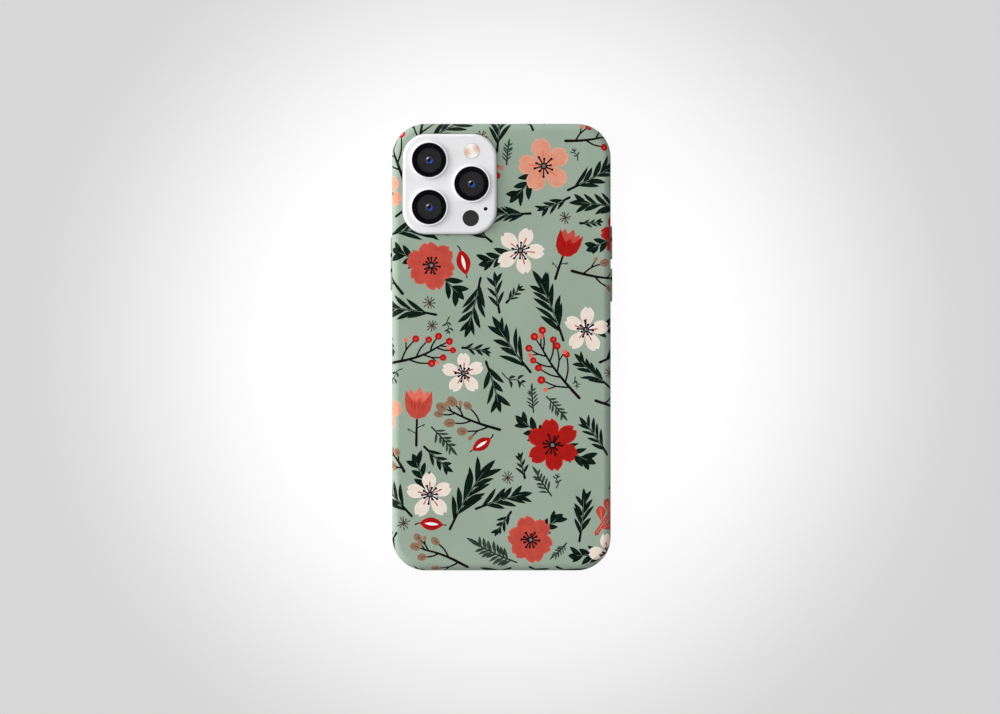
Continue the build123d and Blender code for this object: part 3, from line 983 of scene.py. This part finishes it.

# coated glass: black, with a painted blue reflection, a crescent low on the right, and a painted
# highlight, a pale glint high on the left
glass, tree, shader = new_material("coated_glass")
colour = srgb(2, 4, 20)
# the spots in turn: the painted blue reflection, the black pupil, and two painted highlights that
# make the glint
for spot, tint in (
    ((0.72, 0.30, 0.10, 0.40), (10, 100, 250)),
    ((0.40, 0.58, 0.26, 0.36), (2, 2, 3)),
    ((0.24, 0.72, 0.04, 0.15), (190, 190, 190)),
    ((0.34, 0.79, 0.03, 0.12), (225, 225, 222)),
):
    colour = blend_colours(tree, spot_mask(tree, *spot), colour, srgb(*tint))
tree.links.new(colour, shader.inputs["Base Color"])
shader.inputs["Roughness"].default_value = 0.08
shader.inputs["Coat Weight"].default_value = 0.6
dress(glass, *each_lens("element"))

cover, tree, shader = new_material("clear_cover")
tree.links.new(
    blend_colours(tree, noise_factor(tree, 200.0), srgb(14, 16, 24), srgb(20, 22, 32)),
    shader.inputs["Base Color"],
)
shader.inputs["Alpha"].default_value = 0.04
shader.inputs["Roughness"].default_value = 0.05
dress(cover, *each_lens("cover"))

# flash: frosted white with warm patches to the left and right, inside a grey edge
flash, tree, shader = new_material("flash_diffuser")
warm = srgb(254, 252, 250)
for spot, tint in (
    ((0.14, 0.40, 0.10, 0.42), (240, 188, 158)),
    ((0.88, 0.66, 0.08, 0.40), (240, 186, 158)),
):
    warm = blend_colours(tree, spot_mask(tree, *spot), warm, srgb(*tint))
pane = spot_mask(tree, 0.5, 0.5, 0.465, 0.495)
tree.links.new(blend_colours(tree, pane, srgb(196, 200, 206), warm), shader.inputs["Base Color"])
shader.inputs["Roughness"].default_value = 0.25
shader.inputs["Coat Weight"].default_value = 0.4
dress(flash, "flash_diffuser")


# button caps: the print's own ground, with leaves that run across them
MASK_EDGE = 0.00004


def disc_mask(tree, flat, y, z, radius):
    """1 inside a circle on the side wall."""
    away = vector_maths(tree, "DISTANCE", flat, (0, y, z)).outputs["Value"]
    return ramp(tree, away, radius, radius - MASK_EDGE, "LINEAR")


def leaf_mask(tree, flat, y, z, turn, length, width):
    """1 inside a pointed leaf, the overlap of two circles, round (y, z)."""
    radius = (length * length + width * width) / (4 * width)
    reach = radius - width / 2
    both = tree.nodes.new("ShaderNodeMath")
    both.operation = "MULTIPLY"
    for socket, side in ((0, 1), (1, -1)):
        middle = around(math.radians(turn) + side * math.pi / 2, reach, y, z)
        tree.links.new(disc_mask(tree, flat, *middle, radius), both.inputs[socket])
    return both.outputs["Value"]


# in millimetres: where each leaf leaves the stem, from the middle of its cap
CAP_LEAVES = {
    "power_button": (-6.6, -4.0, -1.4, 1.2, 3.8),
    "volume_up_button": (-3.0, -0.6, 1.8),
    "volume_down_button": (-2.2, 0.4, 3.0),
}
LEAF_LENGTH, LEAF_WIDTH, LEAF_TURN, STEM_WIDTH = 4.2, 1.2, 38.0, 0.5
LEAF_ALONG, LEAF_ACROSS = 1.0, 0.8  # from there to the leaf's own middle
for button in BUTTONS:
    low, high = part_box(button + "_cap")
    mid = (low + high) / 2
    mat, tree, shader = new_material(button + "_print")
    place = tree.nodes.new("ShaderNodeTexCoord").outputs["Object"]
    flat = vector_maths(tree, "MULTIPLY", place, (0, 1, 1)).outputs["Vector"]
    ground_tones = [srgb(*tone) for tone in SAGE]
    colour = blend_colours(tree, noise_factor(tree, SAGE_SCALE), *ground_tones)
    steps = CAP_LEAVES[button]
    stem_length = (steps[-1] - steps[0]) * 1.7
    leaves = [(sum(steps) / len(steps), 0.0, 0.0, stem_length, STEM_WIDTH)]
    for k, along in enumerate(steps):
        side = 1 if k % 2 else -1
        turn = side * LEAF_TURN
        leaves.append((along + LEAF_ALONG, side * LEAF_ACROSS, turn, LEAF_LENGTH, LEAF_WIDTH))
    for along, across, turn, length, width in leaves:
        middle = (mid.y + along / MM, mid.z + across / MM)
        mask = leaf_mask(tree, flat, *middle, turn, length / MM, width / MM)
        colour = blend_colours(tree, mask, colour, srgb(6, 28, 19))
    tree.links.new(colour, shader.inputs["Base Color"])
    satin_print(tree, shader)
    dress(mat, button + "_cap")


# each soft web goes in with its cap, through the liner's window, so that the cap never cuts into it
for button in BUTTONS:
    node = nodes[button + "_web"]
    web = bpy.data.objects.new(button + "_soft_web", node.data.copy())
    web.matrix_world = node.matrix_world
    bpy.context.scene.collection.objects.link(web)
    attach(web, button)
    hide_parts(button + "_web")


# ---------------------------------------------------------------- floor, light and camera
# a white sweep that glows by its own emission, with painted light that falls off softly towards its
# edges; the glow keeps shadows faint
FLOOR_Z, CARD_Z = -0.0006, -0.0003
bpy.ops.mesh.primitive_plane_add(size=3.0, location=(0, 0, FLOOR_Z))
floor = bpy.context.object
floor.name = "floor"
BRIGHT_REACH, FALL_REACH = 0.06, 0.175  # where the falloff starts and ends
mat, tree, shader = new_material("glowing_floor_painted_falloff")
coord = tree.nodes.new("ShaderNodeTexCoord")
away = vector_maths(tree, "LENGTH", coord.outputs["Object"]).outputs["Value"]
# the emission is painted light: bright in the middle, falling off to grey towards the edges
tree.links.new(
    blend_colours(tree, ramp(tree, away, BRIGHT_REACH, FALL_REACH), grey(0.95), grey(0.59)),
    shader.inputs["Emission Color"],
)
shader.inputs["Emission Strength"].default_value = 1.0
tree.links.new(
    blend_colours(tree, noise_factor(tree, 3.0), grey(0.09), (0.085, 0.085, 0.086, 1.0)),
    shader.inputs["Base Color"],
)
shader.inputs["Roughness"].default_value = 0.9
shader.inputs["Specular IOR Level"].default_value = 0.0
floor.data.materials.append(mat)
floor.visible_diffuse = False
floor.visible_glossy = False

# a dark card under the case, inside its rim: painted shadow, so that no light from the glowing
# floor comes up through the empty pocket
CARD_MARGIN = 2.2
edge = rounded(0, 0, HALF_X - CARD_MARGIN, HALF_Y - CARD_MARGIN, CORNER - CARD_MARGIN)
mesh = bpy.data.meshes.new("painted_shadow_card")
mesh.from_pydata([(x / MM, y / MM, CARD_Z) for x, y in edge], [], [range(len(edge))])
card = bpy.data.objects.new("painted_shadow_card", mesh)
bpy.context.scene.collection.objects.link(card)
mat, tree, shader = new_material("painted_shadow_card_colour")
tree.links.new(
    blend_colours(tree, noise_factor(tree, 40.0), srgb(40, 41, 40), srgb(48, 49, 48)),
    shader.inputs["Base Color"],
)
shader.inputs["Roughness"].default_value = 0.9
mesh.materials.append(mat)

bpy.context.scene.view_settings.view_transform = "Standard"  # shows each colour as it is

# a soft room, brightest to the upper left, with a dark patch overhead against glare on the back
world = bpy.data.worlds.new("soft_room")
bpy.context.scene.world = world
world.use_nodes = True
tree = world.node_tree
sky = tree.nodes.new("ShaderNodeTexCoord").outputs["Generated"]
background = tree.nodes["Background"]
sideways = vector_maths(tree, "DOT_PRODUCT", sky, (-0.88, 0.47, 0.0)).outputs["Value"]
upwards = vector_maths(tree, "DOT_PRODUCT", sky, (0.0, 0.0, 1.0)).outputs["Value"]
towards_light = ramp(tree, sideways, -1.0, 1.0)
glow = blend_colours(tree, towards_light, (0.22, 0.22, 0.23, 1.0), grey(1.0))
overhead = ramp(tree, upwards, 0.86, 0.95)
tree.links.new(blend_colours(tree, overhead, glow, grey(0.02)), background.inputs["Color"])
strength = rescale(tree, ramp(tree, upwards, 0.1, 0.8), 0.85, 1.72)
tree.links.new(strength, background.inputs["Strength"])

# a key lamp low on the left, unseen in reflections
KEY_PLACE = Vector((-1.15, 0.32, 0.3))
key_data = bpy.data.lights.new("key", "AREA")
key_data.shape = "RECTANGLE"
key_data.size, key_data.size_y = 0.9, 0.5
key_data.energy = 13.5
key = bpy.data.objects.new("key", key_data)
key.location = KEY_PLACE
key.rotation_euler = (-KEY_PLACE).to_track_quat("-Z", "Y").to_euler()
key.visible_glossy = False
bpy.context.scene.collection.objects.link(key)

# a long lens straight above
camera_data = bpy.data.cameras.new("camera")
camera_data.lens = 200
camera_data.sensor_width = 36
camera_data.clip_end = 20
camera = bpy.data.objects.new("camera", camera_data)
FRAME_WIDTH = 0.342
AIM_X, AIM_Y = -0.00048, -0.0034
distance = FRAME_WIDTH * camera_data.lens / camera_data.sensor_width
camera.location = (AIM_X, AIM_Y, distance + cad_high.z)
bpy.context.scene.collection.objects.link(camera)
bpy.context.scene.camera = camera
